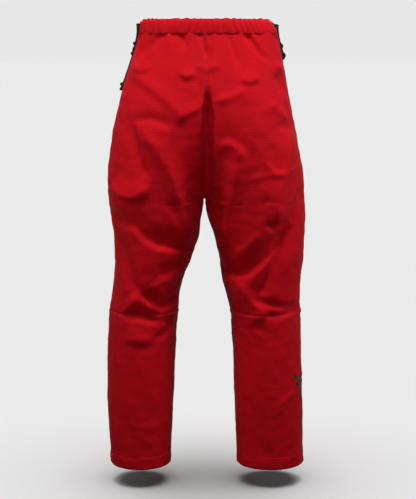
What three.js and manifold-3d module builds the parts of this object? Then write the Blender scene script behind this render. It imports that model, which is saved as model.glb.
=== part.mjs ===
// Drawstring trousers for grappling, cut from cotton ripstop, hanging in the shape of a standing wearer.
// Millimetres. +Z is up and the origin is the centre of the waist opening at its top edge. The front faces -Y,
// and the wearer's left leg is on +X.
//
// Each leg is a stack of horizontal ellipses. Above the crotch the two stacks meet on the plane x = 0, so the line
// where they meet is the crotch curve. Below the crotch each ellipse closes into a leg. Every cloth piece is a thin
// shell that follows this surface, so the pieces fit whatever sizes are chosen.
import * as THREE from 'three';
import Module from 'manifold-3d';
import { mergeVertices } from 'three/addons/utils/BufferGeometryUtils.js';

const wasm = await Module();
wasm.setup();

// Heights, given as the drop below the waist edge
const outseam = 955; // waist edge to hem
const casingDepth = 30; // depth of the drawcord casing
const crotchDrop = 375; // waist edge to the crotch point
const kneeDrop = 613; // waist edge to the seam across the knee
const hemDepth = 26; // depth of the turned-up hem

// Cloth and clearances
const cloth = 1.2; // thickness of one layer
const gap = 0.3; // clearance between pieces that are sewn together
const half = gap / 2;

// Waistband
const loopWidth = 12; // belt loop, along the waist
const loopThickness = 1.4;
const loopBulge = 10.5; // how far a belt loop stands off the casing
const loopTail = 15; // how far a belt loop reaches below the casing
const loopCentre = 28; // belt loop's distance from the centre front

// Drawcord
const cordDiameter = 7;
const cordInset = 1.8; // the middle of the cord in its tunnel lies this far inside the panels' surface
const cordRoom = 2.6; // how much wider the tunnel is than the cord
const cordBackRoom = 1; // and how much of that lies behind the cord, towards the wearer
const channel = cordDiameter + cordRoom; // width of the tunnel
const channelInside = cordInset + cordDiameter / 2 + cordBackRoom; // share of it inside the panels' surface
const cordSides = 8;
const cordStep = 14;
const slotLength = 4 * cordDiameter + 8; // buttonhole that the drawcord leaves by, at a slant
const slotHeight = 2 * cordDiameter - 4;
const slotCentre = 5; // the buttonhole lies this far behind the side seam
const slotRim = 2.4; // width of the stitching round the buttonhole
const rimThickness = 0.9;
const punchStart = 100; // the cut for a buttonhole starts this far from the middle of the waist
const punchLength = 80;

// Knots
const stopperRadius = 6.4;
const ballRadius = 6.3;
const ballLength = 13;
const longKnotRadius = 6;

// Reinforcements and badge
const kneePatchTop = crotchDrop + 55; // drop of its upper edge
const panelColumns = 10; // steps across one panel
const waistSteps = 48; // steps round the waist
const hemSteps = 32; // steps round one hem
const kneePatchMargin = 1; // steps of bare panel on either side of the patch
const patchGap = 0.6; // the patch lies this far off the panels, clear of their facets
const crotchPatchFoot = crotchDrop + 95; // drop of the lower edge of the reinforcement inside the crotch
const crotchPatchColumns = 2; // steps from the inside-leg seam to its edge
const liningGap = 0.6; // the reinforcement lies this far inside the panels
const badgeDrop = kneeDrop + 133; // drop of the badge's upper edge
const badgeHeight = 60;
const badgeCentre = 18; // degrees behind the side seam
const badgeHalf = 24; // degrees from its middle to its edge
const badgeTaper = 0.7; // share of the width lost from top to bottom
const badgeThickness = 0.8;

// Half widths and depths at each level. The levels are tied to the heights above.
const levels = [0, casingDepth, 180, 330, 470, 555, kneeDrop + 11, 800, outseam];
const sides = {
  left: { sign: 1, outer: [133.5, 139, 184.5, 208, 196.5, 198.5, 209.5, 215.5, 209.5] },
  right: { sign: -1, outer: [127.5, 144, 174, 202, 206, 198.5, 199, 206, 209.5] },
};
const halfDepths = [98, 101, 120, 112, 100, 90, 83, 74, 64];
const middles = [0, 0, 10, 6, 2, 0, -2, 4, 6]; // how far the section's centre lies towards the back
const legGap = 0.2; // distance of the closed leg from the middle at the crotch
const lowThigh = THREE.MathUtils.lerp(crotchPatchFoot, kneeDrop + 11, 0.552);
const insideLevels = [
  crotchDrop, crotchDrop + 15, kneePatchTop, crotchPatchFoot, lowThigh, kneeDrop + 11, 800, outseam,
];
sides.left.inner = [legGap, 7, 13, 22, 54.5, 64.5, 73, 81];
sides.right.inner = [legGap, 7, 12, 22, 36, 52, 60, 66];
const seatFullness = 1.25; // how late the crotch curve leaves the seat: 1 is a straight run

// Routes of the hanging cord ends, from the hinge line at the buttonhole down to the end knot
const leftUpper = [
  [144.5, -14, -13], [144.5, -17.5, -13], [144.5, -23, -15], [144.6, -27, -20], [144.8, -28.5, -28],
  [146, -28.5, -38], [148.5, -28, -49.5],
];
const leftLower = [
  [154.8, -26.5, -75.5], [157.2, -26, -83], [160.4, -25.5, -92], [166.6, -25, -110], [172.6, -24.5, -127],
  [175.6, -24.2, -135.3],
];
const rightUpper = [
  [-146.5, -14, -15], [-146.5, -17.5, -15], [-146.6, -23, -17], [-147, -27, -22], [-147.8, -28.5, -29],
  [-149.3, -28.5, -39], [-151.8, -28, -49.5],
];
const rightKnotFoot = [-161.5, -26.5, -83];
const leftExit = [
  [144.5, -14 + gap, -13], [144.5, -10.5, -13], [143.9, -6, -13], [142, 0, -13.2], [138.8, 6.5, -13.5],
  [134.6, 13.5, -13.8],
];
const rightExit = [
  [-146.5, -14 + gap, -15], [-146.5, -10.5, -15], [-145.8, -6, -15], [-143.4, 0, -14.8], [-139.6, 7, -14.4],
  [-133.8, 14.5, -14.1],
];
const cordDrop = 14; // drop of the drawcord inside its tunnel

const red = new THREE.MeshStandardMaterial({ color: '#c3001d', roughness: 0.75, metalness: 0 });
const darkRed = new THREE.MeshStandardMaterial({ color: '#8e0012', roughness: 0.8, metalness: 0 });
const black = new THREE.MeshStandardMaterial({ color: '#121214', roughness: 0.7, metalness: 0 });

// ---- surface of the trousers -------------------------------------------------------------------------------

// Smooth curve through the values at the levels, with each slope taken from the two neighbouring levels
function through(places, values, drop) {
  let i = 0;
  while (i < places.length - 2 && drop > places[i + 1]) i += 1;
  const span = places[i + 1] - places[i];
  const t = THREE.MathUtils.clamp((drop - places[i]) / span, 0, 1);
  const slope = (j) => {
    const before = Math.max(0, j - 1);
    const after = Math.min(places.length - 1, j + 1);
    return (values[after] - values[before]) / (places[after] - places[before]);
  };
  const t2 = t * t;
  const t3 = t2 * t;
  const start = values[i] * (2 * t3 - 3 * t2 + 1) + slope(i) * span * (t3 - 2 * t2 + t);
  return start + values[i + 1] * (3 * t2 - 2 * t3) + slope(i + 1) * span * (t3 - t2);
}

// Ellipse of one leg at a drop: its centre and half axes, moved outwards by offset
function section(side, drop, offset) {
  const outer = through(levels, side.outer, drop);
  const depth = through(levels, halfDepths, drop) + offset;
  const middle = through(levels, middles, drop);
  if (drop >= crotchDrop) {
    const inner = through(insideLevels, side.inner, drop);
    return { centre: (outer + inner) / 2, width: (outer - inner) / 2 + offset, depth, middle };
  }
  const fall = Math.max(0, (drop - casingDepth) / (crotchDrop - casingDepth));
  const share = fall ** seatFullness;
  return { centre: (outer * share) / (1 + share), width: outer / (1 + share) + offset, depth, middle };
}

// Largest angle from the side seam: where the ellipse meets the middle, or nearly half a turn on a closed leg
function lastAngle(ring) {
  const closed = Math.PI - Math.asin(half / ring.depth);
  const cut = (half - ring.centre) / ring.width;
  return cut <= -1 ? closed : Math.min(closed, Math.acos(cut));
}

// Angle at a share of the way from the side seam to the middle
function shareAngle(ring, share) {
  return THREE.MathUtils.lerp(Math.asin(half / ring.depth), lastAngle(ring), share);
}

// Point on a leg: angle is counted from the side seam, negative towards the front
function legPoint(side, drop, angle, offset) {
  const ring = section(side, drop, offset);
  const x = ring.centre + ring.width * Math.cos(angle);
  return new THREE.Vector3(side.sign * x, ring.middle + ring.depth * Math.sin(angle), -drop);
}

// ---- solids ------------------------------------------------------------------------------------------------

function toSolid(geometry) {
  const bare = geometry.clone();
  bare.deleteAttribute('normal');
  bare.deleteAttribute('uv');
  const merged = mergeVertices(bare, 1e-4);
  const mesh = { numProp: 3, vertProperties: merged.attributes.position.array };
  mesh.triVerts = new Uint32Array(merged.index.array);
  return new wasm.Manifold(new wasm.Mesh(mesh));
}

function toGeometry(solid) {
  const mesh = solid.getMesh();
  const geometry = new THREE.BufferGeometry();
  geometry.setAttribute('position', new THREE.BufferAttribute(mesh.vertProperties, 3));
  geometry.setIndex(new THREE.BufferAttribute(mesh.triVerts, 1));
  return geometry;
}

// Turns the faces outwards if the enclosed volume comes out negative
function outward(points, faces) {
  let volume = 0;
  for (const [a, b, c] of faces) volume += points[a].dot(points[b].clone().cross(points[c]));
  const index = faces.flatMap(([a, b, c]) => (volume > 0 ? [a, b, c] : [a, c, b]));
  const geometry = new THREE.BufferGeometry();
  geometry.setAttribute('position', new THREE.Float32BufferAttribute(points.flatMap((p) => p.toArray()), 3));
  geometry.setIndex(index);
  return geometry;
}

// Faces through closed loops of equal length, joined end to end if ring is set. Each four-cornered face is halved
// along one diagonal, or along the other one where turned says so.
function loft(loops, ring, turned = () => false) {
  const count = loops[0].length;
  const points = loops.flat();
  const faces = [];
  const runs = ring ? loops.length : loops.length - 1;
  for (let i = 0; i < runs; i += 1) {
    for (let j = 0; j < count; j += 1) {
      const here = i * count;
      const next = ((i + 1) % loops.length) * count;
      const k = (j + 1) % count;
      if (turned(j)) faces.push([here + j, here + k, next + j], [here + k, next + k, next + j]);
      else faces.push([here + j, here + k, next + k], [here + j, next + k, next + j]);
    }
  }
  return { points, faces, count };
}

// Closed cloth shell. place(u, v, inner) gives the point at shares u and v of the piece, on its outer or inner face.
// The inner face is halved along the same diagonals as the outer one, so the wall is equally thick all over.
function shell(columns, rows, place) {
  const loops = [];
  for (let i = 0; i <= rows; i += 1) {
    const loop = [];
    for (let j = 0; j <= columns; j += 1) loop.push(place(j / columns, i / rows, false));
    for (let j = columns; j >= 0; j -= 1) loop.push(place(j / columns, i / rows, true));
    loops.push(loop);
  }
  const { points, faces, count } = loft(loops, false, (j) => j > columns);
  const last = rows * count;
  for (let j = 0; j < columns; j += 1) {
    const across = count - 1 - j;
    faces.push([j, across, across - 1], [j, across - 1, j + 1]);
    faces.push([last + j, last + across - 1, last + across], [last + j, last + j + 1, last + across - 1]);
  }
  return outward(points, faces);
}

// Closed profile of [offset, drop] points carried right round the waist
function waistRing(profile) {
  const loops = [];
  for (let i = 0; i < waistSteps; i += 1) {
    const turn = ((i + 0.5) / waistSteps) * 2 * Math.PI;
    const side = Math.cos(turn) > 0 ? sides.left : sides.right;
    const angle = Math.atan2(Math.sin(turn), Math.abs(Math.cos(turn)));
    loops.push(profile.map(([offset, drop]) => legPoint(side, drop, angle, offset)));
  }
  const { points, faces } = loft(loops, true);
  return outward(points, faces);
}

// Round rope along a smooth curve through the points
function rope(points) {
  const path = new THREE.CatmullRomCurve3(points.map((p) => new THREE.Vector3(...p)), false, 'centripetal');
  const circle = new THREE.Shape();
  for (let i = 0; i < cordSides; i += 1) {
    const turn = (i / cordSides) * 2 * Math.PI;
    const x = (cordDiameter / 2) * Math.cos(turn);
    const y = (cordDiameter / 2) * Math.sin(turn);
    if (i === 0) circle.moveTo(x, y);
    else circle.lineTo(x, y);
  }
  const steps = Math.max(6, Math.round(path.getLength() / cordStep));
  const tube = new THREE.ExtrudeGeometry(circle, { steps, extrudePath: path, bevelEnabled: false });
  return toGeometry(toSolid(tube));
}

const group = new THREE.Group();

function add(name, geometry, material) {
  const mesh = new THREE.Mesh(geometry, material.clone());
  mesh.name = name;
  group.add(mesh);
  return mesh;
}

// ---- waistband ---------------------------------------------------------------------------------------------

const tunnelOuter = channel - channelInside; // tunnel's outer wall, measured from the panels' surface
const wallOuter = tunnelOuter + cloth;
const casingProfile = [
  [-channelInside, 0], [wallOuter, 0], [wallOuter, casingDepth], [-channelInside, casingDepth],
  [-channelInside, casingDepth - cloth], [tunnelOuter, casingDepth - cloth], [tunnelOuter, cloth],
  [-channelInside, cloth],
];
const facingOuter = -channelInside - gap;
const facingProfile = [
  [facingOuter, 0], [facingOuter, casingDepth], [facingOuter - cloth, casingDepth], [facingOuter - cloth, 0],
];
const rimInner = wallOuter + gap;
const rimProfile = [
  [rimInner, gap], [rimInner + rimThickness, gap], [rimInner + rimThickness, casingDepth - gap],
  [rimInner, casingDepth - gap],
];

// Stadium-shaped punch along X at one side of the waist, grown by a margin all round
function punch(sign, drop, margin) {
  const radius = slotHeight / 2 + margin;
  const straight = (slotLength - slotHeight) / 2;
  const shape = new THREE.Shape();
  shape.absarc(slotCentre + straight, -drop, radius, -Math.PI / 2, Math.PI / 2, false);
  shape.absarc(slotCentre - straight, -drop, radius, Math.PI / 2, (3 * Math.PI) / 2, false);
  const block = new THREE.ExtrudeGeometry(shape, { depth: punchLength, bevelEnabled: false, curveSegments: 8 });
  // The shape's x and y become the model's y and z, and its depth becomes x
  block.applyMatrix4(new THREE.Matrix4().makeBasis(
    new THREE.Vector3(0, 1, 0), new THREE.Vector3(0, 0, 1), new THREE.Vector3(1, 0, 0)));
  block.translate(sign > 0 ? punchStart : -punchStart - punchLength, 0, 0);
  return toSolid(block);
}

const exits = [
  { name: 'left', sign: 1, drop: -leftExit[3][2] },
  { name: 'right', sign: -1, drop: -rightExit[3][2] },
];
let casing = toSolid(waistRing(casingProfile));
const rimBand = toSolid(waistRing(rimProfile));
for (const exit of exits) {
  casing = casing.subtract(punch(exit.sign, exit.drop, 0));
  const rim = rimBand.intersect(punch(exit.sign, exit.drop, slotRim)).subtract(punch(exit.sign, exit.drop, half));
  add(`${exit.name}_buttonhole`, toGeometry(rim), darkRed);
}
add('waistband_casing', toGeometry(casing), red);
add('waistband_facing', waistRing(facingProfile), red);

// Belt loops either side of the centre front: a strip sewn down at both ends and arched over the casing
for (const [name, side] of Object.entries(sides)) {
  const strip = [
    [rimInner, 2], [rimInner, 9], [rimInner + loopBulge, 13], [rimInner + loopBulge, casingDepth + 3],
    [gap, casingDepth + 7], [gap, casingDepth + loopTail],
  ];
  add(`${name}_belt_loop`, shell(strip.length - 1, 2, (u, v, inner) => {
    const [stand, drop] = strip[Math.round(u * (strip.length - 1))];
    const offset = stand + (inner ? 0 : loopThickness);
    const ring = section(side, drop, offset);
    const x = loopCentre + (v - 0.5) * loopWidth;
    return legPoint(side, drop, -Math.acos((x - ring.centre) / ring.width), offset);
  }), black);
}

// ---- upper panels and crotch patches -----------------------------------------------------------------------

// Rows of an upper panel: evenly spread ones, with one at each height that something else lines up with
const plainRows = [60, 100, 145, 190, 235, 275, 310, 335, 352, 365, 430, 470, 500, 530, 560, 595];
const panelTop = casingDepth + gap;
const panelFoot = kneeDrop - half;
const tiedRows = [panelTop, crotchDrop, crotchDrop + 7, crotchDrop + 15, kneePatchTop, crotchPatchFoot, panelFoot];
const upperRows = [...new Set([...plainRows, ...tiedRows])]
  .filter((drop) => drop >= panelTop && drop <= panelFoot)
  .sort((a, b) => a - b);

// Half of a leg's cloth from the side seam to the middle: back is +1, front is -1
function upperPanel(side, back) {
  return shell(panelColumns, upperRows.length - 1, (u, v, inner) => {
    const drop = upperRows[Math.round(v * (upperRows.length - 1))];
    return legPoint(side, drop, back * shareAngle(section(side, drop, 0), u), inner ? -cloth : 0);
  });
}

const crotchRows = upperRows.filter((drop) => drop > crotchDrop && drop <= crotchPatchFoot);
for (const [name, side] of Object.entries(sides)) {
  for (const [face, back] of [['front', -1], ['back', 1]]) {
    add(`${name}_${face}_panel`, upperPanel(side, back), red);
  }

  // Second layer of cloth on the inside of the crotch, on the panels' own rows and columns
  const patch = shell(2 * crotchPatchColumns, crotchRows.length - 1, (u, v, inner) => {
    const drop = crotchRows[Math.round(v * (crotchRows.length - 1))];
    const step = Math.round((2 * u - 1) * crotchPatchColumns);
    const angle = step === 0 ? Math.PI : shareAngle(section(side, drop, 0), 1 - Math.abs(step) / panelColumns);
    return legPoint(side, drop, step < 0 ? angle : -angle, -cloth - liningGap - (inner ? cloth : 0));
  });
  add(`${name}_crotch_patch`, patch, darkRed);
}

// ---- lower legs, hems and knee patches ---------------------------------------------------------------------

const hemTop = outseam - hemDepth;
const lowerRows = [];
for (let i = 0; i <= 6; i += 1) lowerRows.push(THREE.MathUtils.lerp(kneeDrop + half, hemTop - half, i / 6));
const patchRows = [...upperRows.filter((drop) => drop >= kneePatchTop), ...lowerRows];
const patchShare = kneePatchMargin / panelColumns;
for (const [name, side] of Object.entries(sides)) {
  for (const [face, back] of [['front', -1], ['back', 1]]) {
    add(`${name}_lower_${face}`, shell(panelColumns, lowerRows.length - 1, (u, v, inner) => {
      const drop = lowerRows[Math.round(v * (lowerRows.length - 1))];
      return legPoint(side, drop, back * shareAngle(section(side, drop, 0), u), inner ? -cloth : 0);
    }), red);
  }

  const hemProfile = [[0, hemTop + half], [0, outseam], [-2 * cloth, outseam], [-2 * cloth, hemTop + half]];
  const hemLoops = [];
  for (let i = 0; i < hemSteps; i += 1) {
    const turn = (i / hemSteps) * 2 * Math.PI;
    hemLoops.push(hemProfile.map(([offset, drop]) => legPoint(side, drop, turn, offset)));
  }
  const hem = loft(hemLoops, true);
  add(`${name}_hem`, outward(hem.points, hem.faces), red);

  // The patch shares the panels' rows and columns, so its facets lie parallel to theirs
  add(`${name}_knee_patch`, shell(panelColumns - 2 * kneePatchMargin, patchRows.length - 1, (u, v, inner) => {
    const drop = patchRows[Math.round(v * (patchRows.length - 1))];
    const share = THREE.MathUtils.lerp(patchShare, 1 - patchShare, u);
    return legPoint(side, drop, -shareAngle(section(side, drop, 0), share), inner ? patchGap : patchGap + cloth);
  }), red);
}

// Embroidered badge on the outside of the right calf
add('calf_badge', shell(6, 4, (u, v, inner) => {
  const spread = badgeHalf * (1 - badgeTaper * v);
  const angle = THREE.MathUtils.degToRad(badgeCentre + spread * (2 * u - 1));
  return legPoint(sides.right, badgeDrop + badgeHeight * v, angle, inner ? gap : gap + badgeThickness);
}), black);

// ---- drawcord ----------------------------------------------------------------------------------------------

// The cord runs in the tunnel round the back, from one buttonhole to the other
const tunnelRun = [];
for (let degrees = 16; degrees <= 164; degrees += 4) {
  const side = degrees < 90 ? sides.left : sides.right;
  const angle = THREE.MathUtils.degToRad(degrees < 90 ? degrees : 180 - degrees);
  tunnelRun.push(legPoint(side, cordDrop, angle, -cordInset).toArray());
}
add('drawcord', rope([...leftExit, ...tunnelRun, ...rightExit.slice().reverse()]), black);
add('left_cord_upper', rope(leftUpper), black);
add('left_cord_lower', rope(leftLower), black);
add('right_cord', rope(rightUpper), black);

// Knot: a rounded body of revolution along the cord, between two of its points
function knot(from, to, radius) {
  const start = new THREE.Vector3(...from);
  const finish = new THREE.Vector3(...to);
  const length = start.distanceTo(finish);
  const outline = [];
  for (let i = 0; i <= 8; i += 1) {
    const turn = (i / 8) * Math.PI;
    outline.push(new THREE.Vector2(radius * Math.sin(turn) ** 0.8, (-length / 2) * Math.cos(turn)));
  }
  outline[0].x = 0;
  outline[8].x = 0;
  const body = new THREE.LatheGeometry(outline, 12);
  const along = finish.clone().sub(start).normalize();
  body.applyQuaternion(new THREE.Quaternion().setFromUnitVectors(new THREE.Vector3(0, 1, 0), along));
  const middle = start.add(finish).multiplyScalar(0.5);
  body.translate(...middle.toArray());
  return toGeometry(toSolid(body));
}

// Point just past the end of a route, so that the knot starts one clearance on
function beyond(route, from, to, distance) {
  const a = new THREE.Vector3(...route.at(from));
  const b = new THREE.Vector3(...route.at(to));
  return b.clone().add(b.clone().sub(a).normalize().multiplyScalar(distance)).toArray();
}

add('left_stopper_knot', knot(beyond(leftUpper, -2, -1, gap), beyond(leftLower, 1, 0, gap), stopperRadius), black);
const ball = knot(beyond(leftLower, -2, -1, gap), beyond(leftLower, -2, -1, ballLength), ballRadius);
add('left_end_knot', ball, black);
add('right_end_knot', knot(beyond(rightUpper, -2, -1, gap), rightKnotFoot, longKnotRadius), black);

export default group;
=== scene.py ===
# Drawstring trousers for grappling, sewn from red ripstop cotton and hanging in the shape of a standing
# wearer. Metres in the model's own frame: +Z up, the waist opening's centre at the origin, the front
# towards -Y and the wearer's left leg on +X. Lengths named ..._MM are millimetres, the unit that the
# cloth is cut and sewn in.
import math

import bpy
import numpy as np
from mathutils import Matrix


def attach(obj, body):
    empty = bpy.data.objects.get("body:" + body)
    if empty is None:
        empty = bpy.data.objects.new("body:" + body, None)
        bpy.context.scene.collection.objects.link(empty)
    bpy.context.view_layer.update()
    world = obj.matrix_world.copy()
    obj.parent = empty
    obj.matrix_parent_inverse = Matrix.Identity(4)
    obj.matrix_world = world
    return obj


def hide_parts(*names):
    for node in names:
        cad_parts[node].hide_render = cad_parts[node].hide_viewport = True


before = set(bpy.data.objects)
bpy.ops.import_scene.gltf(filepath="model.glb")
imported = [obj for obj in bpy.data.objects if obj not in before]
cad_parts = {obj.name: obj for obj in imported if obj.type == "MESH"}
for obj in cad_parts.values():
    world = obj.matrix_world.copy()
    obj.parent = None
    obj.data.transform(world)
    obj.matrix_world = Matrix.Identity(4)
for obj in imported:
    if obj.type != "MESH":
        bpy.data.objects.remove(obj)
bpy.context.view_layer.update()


# ---- camera --------------------------------------------------------------------------------------------
# A long lens at about the height of the waist, looking at the back of the trousers from behind the
# wearer.
CAMERA_FROM = (-0.002, 2.6, -0.048)
CAMERA_AT = (-0.002, 0.0, -0.486)
CAMERA_LENS = 88.9
CAMERA_LONG_SIDE = 36.0

camera_data = bpy.data.cameras.new("camera")
camera_data.lens = CAMERA_LENS
camera_data.sensor_width = CAMERA_LONG_SIDE
camera = bpy.data.objects.new("camera", camera_data)
bpy.context.scene.collection.objects.link(camera)


def aim(obj, start, target):
    """Puts an object at start with its -Z axis towards target and its Y axis upwards."""
    start = np.array(start, float)
    back = start - np.array(target, float)
    back /= np.linalg.norm(back)
    right = np.cross((0.0, 0.0, 1.0), back)
    right /= np.linalg.norm(right)
    up = np.cross(back, right)
    turn = np.eye(4)
    turn[:3, 0], turn[:3, 1], turn[:3, 2], turn[:3, 3] = right, up, back, start
    obj.matrix_world = Matrix(turn.tolist())


aim(camera, CAMERA_FROM, CAMERA_AT)
bpy.context.scene.camera = camera
bpy.context.scene.view_settings.view_transform = "Standard"


# ---- shape of the trousers -----------------------------------------------------------------------------
# The cloth follows a stack of horizontal ellipses, one stack for each leg. Above the crotch the two
# stacks meet in the middle, along the seat seam, and below it each closes into a leg at the inside-leg
# seam.
MM = 0.001
WAIST_DEPTH_MM = 30.0
CROTCH_MM = 375.0
KNEE_MM = 613.0
HEM_TOP_MM = 929.0
OUTSEAM_MM = 955.0
KNEE_PATCH_TOP_MM = 430.0
CROTCH_PATCH_FOOT_MM = 470.0
LEVELS_MM = [0, WAIST_DEPTH_MM, 180, 330, 470, 555, KNEE_MM + 11, 800, OUTSEAM_MM]
HALF_DEPTHS_MM = [98, 101, 120, 112, 100, 90, 83, 74, 64]
MIDDLES_MM = [0, 0, 10, 6, 2, 0, -2, 4, 6]
INSIDE_LEVELS_MM = [CROTCH_MM, 390, 430, 470, 555, KNEE_MM + 11, 800, OUTSEAM_MM]
LEGS = {
    "left": {
        "sign": 1,
        "outer": [133.5, 139, 184.5, 208, 196.5, 198.5, 209.5, 215.5, 209.5],
        "inner": [0.2, 7, 13, 22, 54.5, 64.5, 73, 81],
    },
    "right": {
        "sign": -1,
        "outer": [127.5, 144, 174, 202, 206, 198.5, 199, 206, 209.5],
        "inner": [0.2, 7, 12, 22, 36, 52, 60, 66],
    },
}
SEAT_FULLNESS = 1.25


def through(places, values, drop):
    """Smooth curve through the values at the places: a cubic in each span, with the slope at each place
    taken from the straight line between its two neighbours."""
    places, values = np.array(places, float), np.array(values, float)
    last = len(places) - 1
    before = np.maximum(np.arange(last + 1) - 1, 0)
    after = np.minimum(np.arange(last + 1) + 1, last)
    slopes = (values[after] - values[before]) / (places[after] - places[before])
    i = np.searchsorted(places[1:-1], drop, side="left")
    span = places[i + 1] - places[i]
    t = np.clip((drop - places[i]) / span, 0, 1)
    start = values[i] * (2 * t**3 - 3 * t**2 + 1) + slopes[i] * span * (t**3 - 2 * t**2 + t)
    return start + values[i + 1] * (3 * t**2 - 2 * t**3) + slopes[i + 1] * span * (t**3 - t**2)


def section(leg, drop):
    """Centre, half width, half depth and middle of a leg's ellipse at a drop. Above the crotch the
    ellipse is cut by the plane x = 0, and the share of it that is cut away grows with the fall from the
    waist."""
    outer = through(LEVELS_MM, leg["outer"], drop)
    depth = through(LEVELS_MM, HALF_DEPTHS_MM, drop)
    middle = through(LEVELS_MM, MIDDLES_MM, drop)
    fall = np.clip((drop - WAIST_DEPTH_MM) / (CROTCH_MM - WAIST_DEPTH_MM), 0, 1)
    share = fall**SEAT_FULLNESS
    inner = through(INSIDE_LEVELS_MM, leg["inner"], np.maximum(drop, CROTCH_MM))
    closed = drop >= CROTCH_MM
    centre = np.where(closed, (outer + inner) / 2, outer * share / (1 + share))
    width = np.where(closed, (outer - inner) / 2, outer / (1 + share))
    return centre, width, depth, middle


def blur(field, rounds, axis):
    """Smooths an array along one axis by repeated weights 1, 2, 1, with the end values held."""
    for _ in range(rounds):
        padded = np.concatenate(
            [field.take([0], axis), field, field.take([-1], axis)], axis)
        low = padded.take(range(0, field.shape[axis]), axis)
        high = padded.take(range(2, field.shape[axis] + 2), axis)
        field = (low + 2 * field + high) / 4
    return field


def step(value, low, high):
    """Smooth step from 0 at low to 1 at high: 3t squared less 2t cubed."""
    t = np.clip((value - low) / (high - low), 0, 1)
    return t * t * (3 - 2 * t)


# Folds. Each is a line of (across, drop) points, as seen from behind with across counted to the right,
# then its height, positive for a ridge and negative for a valley, and its reach on its upper or right
# side and on the other.
BACK_FOLDS = [
    # gathers under the waistband
    ([(-80, 20), (-101, 38), (-115, 56), (-137, 78)], -4.5, 12, 12),
    ([(-119, 46), (-140, 72)], -2.0, 9, 9),
    ([(-54, 25), (-49, 38), (-42, 60)], -4.0, 9, 12),
    ([(-16, 25), (-8, 42), (0, 76)], -4.0, 10, 10),
    ([(12, 25), (11, 62), (4, 90)], -2.2, 4, 8),
    ([(36, 25), (44, 38), (52, 62), (64, 96)], -2.5, 10, 10),
    ([(74, 25), (87, 42), (107, 68), (126, 84)], -4.0, 9, 13),
    ([(94, 22), (104, 36)], -2.5, 8, 8),
    ([(-70, 22), (-68, 42)], -2.0, 8, 8),
    ([(-150, 100), (-131, 106), (-113, 98)], 3.6, 26, 8),
    ([(-55, 110), (-39, 118), (-24, 110)], 4.0, 28, 8),
    ([(67, 122), (85, 128), (103, 121)], 4.0, 28, 8),
    ([(-24, 92), (0, 104), (26, 92)], 2.0, 22, 12),
    # the crease where the seat runs down between the legs
    ([(0, 150), (1, 230), (4, 300), (5, 384)], -13.0, 15, 13),
    # seat and hips
    ([(138, 92), (154, 104)], 3.0, 10, 16),
    ([(142, 114), (158, 151)], -4.0, 14, 18),
    ([(128, 166), (159, 205)], 4.5, 16, 22),
    ([(-152, 108), (-105, 143), (-71, 174), (-45, 196)], 3.2, 26, 18),
    ([(2, 166), (-24, 182), (-58, 201)], 3.0, 12, 20),
    ([(14, 166), (45, 155), (78, 141)], 2.6, 10, 20),
    # left leg, from the hip to the back of the knee
    ([(-152, 207), (-110, 203), (-72, 214)], -3.6, 22, 10),
    ([(-151, 213), (-137, 279), (-119, 320)], -5.5, 10, 24),
    ([(-136, 213), (-106, 254), (-82, 296), (-68, 331), (-54, 385), (-47, 438)], 6.5, 42, 30),
    ([(-198, 345), (-175, 358), (-154, 363), (-138, 358), (-119, 338)], 6.5, 44, 14),
    ([(-196, 362), (-163, 398), (-132, 438)], 3.5, 18, 22),
    ([(-84, 385), (-64, 428)], 2.5, 14, 16),
    ([(-196, 414), (-153, 421), (-124, 448), (-97, 462), (-66, 467), (-20, 480)], -8.0, 44, 10),
    ([(-68, 428), (-33, 458)], 1.6, 8, 14),
    ([(-184, 447), (-170, 488), (-156, 534), (-147, 574)], -4.0, 18, 22),
    ([(-97, 524), (-62, 512), (-26, 489)], -4.5, 26, 10),
    ([(-146, 562), (-130, 556), (-109, 548), (-58, 528)], 2.0, 8, 18),
    ([(-142, 560), (-119, 583), (-94, 596), (-84, 596), (-58, 583)], -6.5, 34, 8),
    ([(-146, 570), (-180, 616)], 3.5, 20, 14),
    ([(-184, 614), (-145, 619), (-103, 629)], -5.5, 32, 8),
    ([(-172, 664), (-140, 668), (-112, 664)], 3.0, 34, 16),
    ([(-112, 664), (-74, 645), (-92, 624)], -3.0, 10, 16),
    # right leg, from the seat to the back of the knee
    ([(27, 256), (43, 249), (61, 258), (76, 276)], 3.5, 12, 30),
    ([(70, 270), (61, 312), (51, 383), (41, 441), (31, 492)], 4.5, 24, 34),
    ([(30, 262), (26, 340), (22, 430)], -2.5, 24, 16),
    ([(160, 222), (159, 279), (156, 310), (146, 347), (139, 418)], 6.5, 34, 30),
    ([(122, 290), (135, 312), (158, 313)], 2.5, 8, 14),
    ([(158, 311), (86, 323)], 1.4, 5, 12),
    ([(162, 306), (194, 301)], 1.6, 6, 14),
    ([(121, 360), (136, 426)], -3.5, 8, 18),
    ([(124, 414), (137, 428), (170, 412)], -4.5, 14, 7),
    ([(200, 350), (176, 416)], -2.5, 18, 18),
    ([(30, 524), (54, 528), (83, 520), (110, 499), (137, 468), (160, 444), (180, 424)], -9.0, 42, 13),
    ([(66, 474), (83, 461), (105, 433)], 1.8, 6, 16),
    ([(98, 582), (125, 526), (150, 470), (170, 440)], -6.5, 22, 30),
    ([(96, 580), (159, 598), (196, 603)], -4.5, 16, 9),
    ([(118, 616), (153, 616), (198, 605)], -4.0, 16, 9),
    ([(66, 548), (96, 583), (124, 614)], 4.0, 16, 40),
    ([(62, 548), (86, 548)], 1.8, 6, 14),
    ([(86, 634), (119, 612)], 2.6, 18, 12),
    ([(99, 646), (114, 660)], 1.5, 8, 10),
    # lower legs
    ([(-168, 852), (-128, 860), (-96, 852)], 1.2, 16, 22),
    ([(-160, 873), (-124, 889)], 1.0, 12, 18),
    ([(143, 816), (170, 794), (188, 782)], 1.5, 10, 18),
    ([(137, 834), (164, 815)], 1.2, 10, 16),
    ([(-150, 700), (-120, 760), (-112, 820)], 1.2, 30, 34),
    ([(120, 690), (112, 760), (120, 840)], 1.2, 30, 34),
]

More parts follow.
